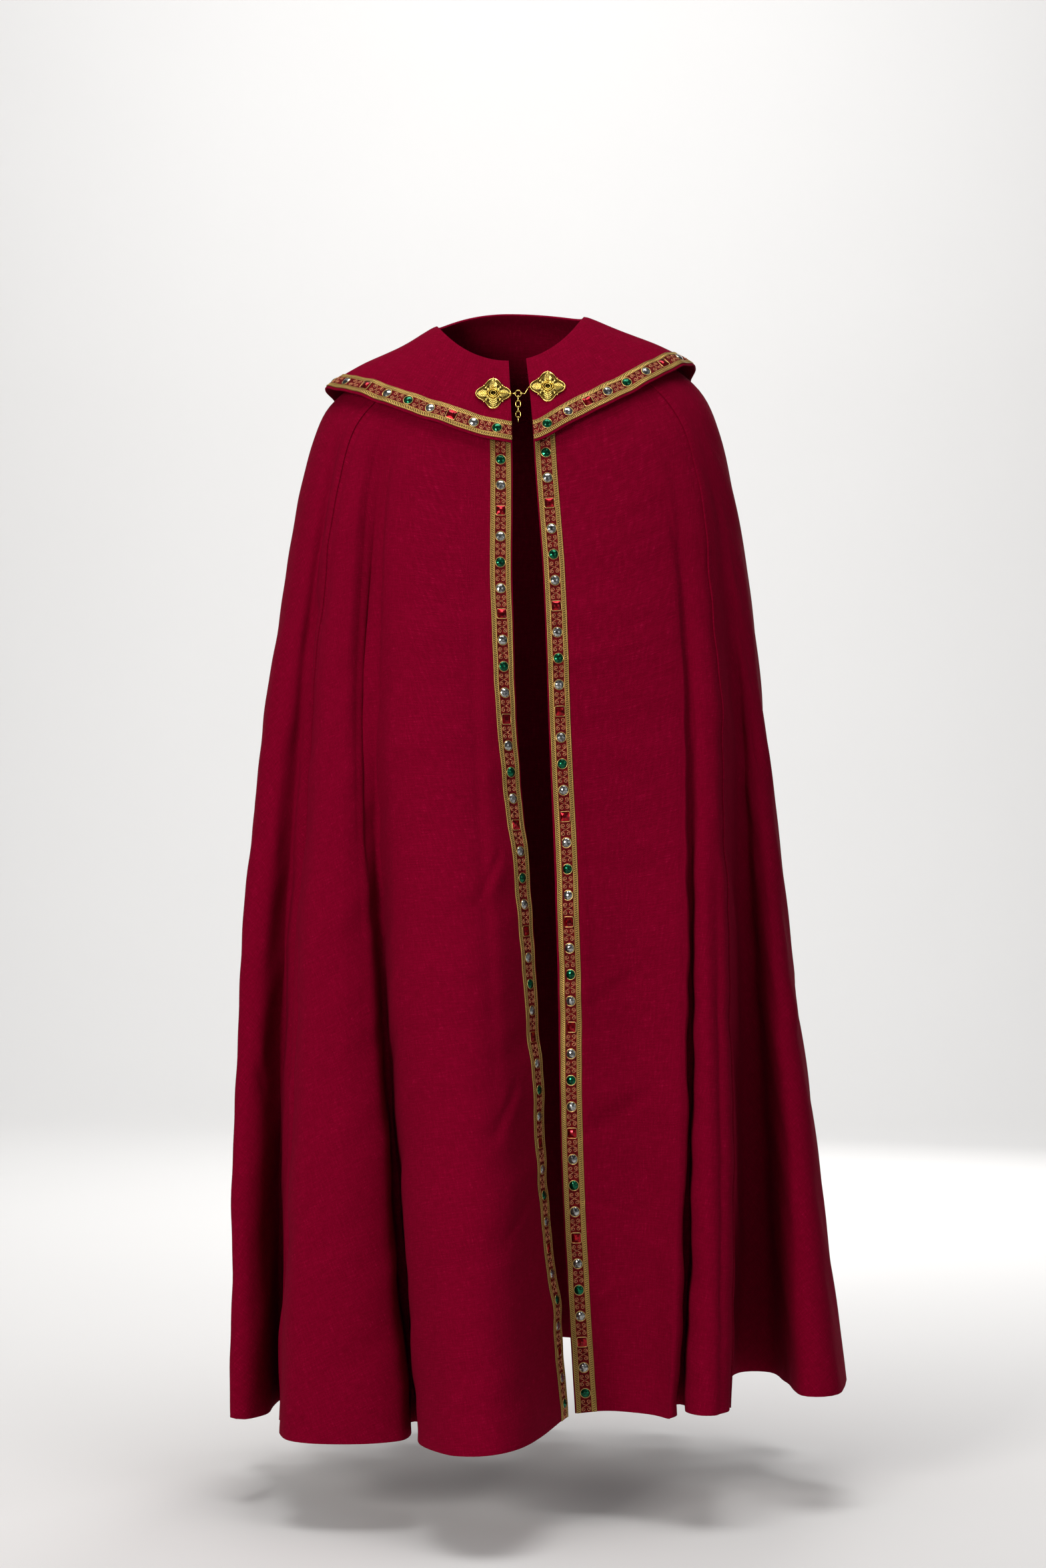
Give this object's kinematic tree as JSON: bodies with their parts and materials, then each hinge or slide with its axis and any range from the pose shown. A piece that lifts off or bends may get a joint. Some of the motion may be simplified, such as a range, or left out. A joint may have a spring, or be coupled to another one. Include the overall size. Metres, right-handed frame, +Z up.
{
  "type": "cope, a church vestment worn as a long cloak",
  "caption": "Crimson cope worn open at the front, with a shoulder cape, stone-set gold galloon edges and a two-plaque gilt clasp with a hanging chain.",
  "frame": {"origin": "middle of the neck opening, level with its sides, where the wearer's neck and shoulders hold the garment up", "axes": "+Z up, the garment's front faces -Y, the wearer's left is +X"},
  "size_m": [0.7792, 0.7227, 1.4151],
  "materials": {
    "cloth": "matte wool-like twill",
    "galloon": "woven metallic braid with set stones",
    "clasp": "polished, gold coloured"
  },
  "bodies": {
    "cope": {"front_panel_right": "cloth", "front_panel_left": "cloth", "back_panel": "cloth", "shoulder_cape": "cloth", "front_galloon_right": "galloon", "front_galloon_left": "galloon", "cape_galloon": "galloon", "morse_plaque_right": "clasp", "morse_plaque_left": "clasp", "morse_ring": "clasp", "morse_loop": "clasp", "morse_hook": "clasp"},
    "chain": {"chain_link_1": "clasp", "chain_link_2": "clasp", "chain_link_3": "clasp", "chain_link_4": "clasp", "chain_link_5": "clasp"}
  },
  "joints": [
    {"name": "chain_swing", "type": "hinge", "parent": "cope", "child": "chain", "pos_m": [0.013, -0.11791, -0.10841], "axis": [-1, 0, 0], "range_deg": [0, 60]}
  ]
}
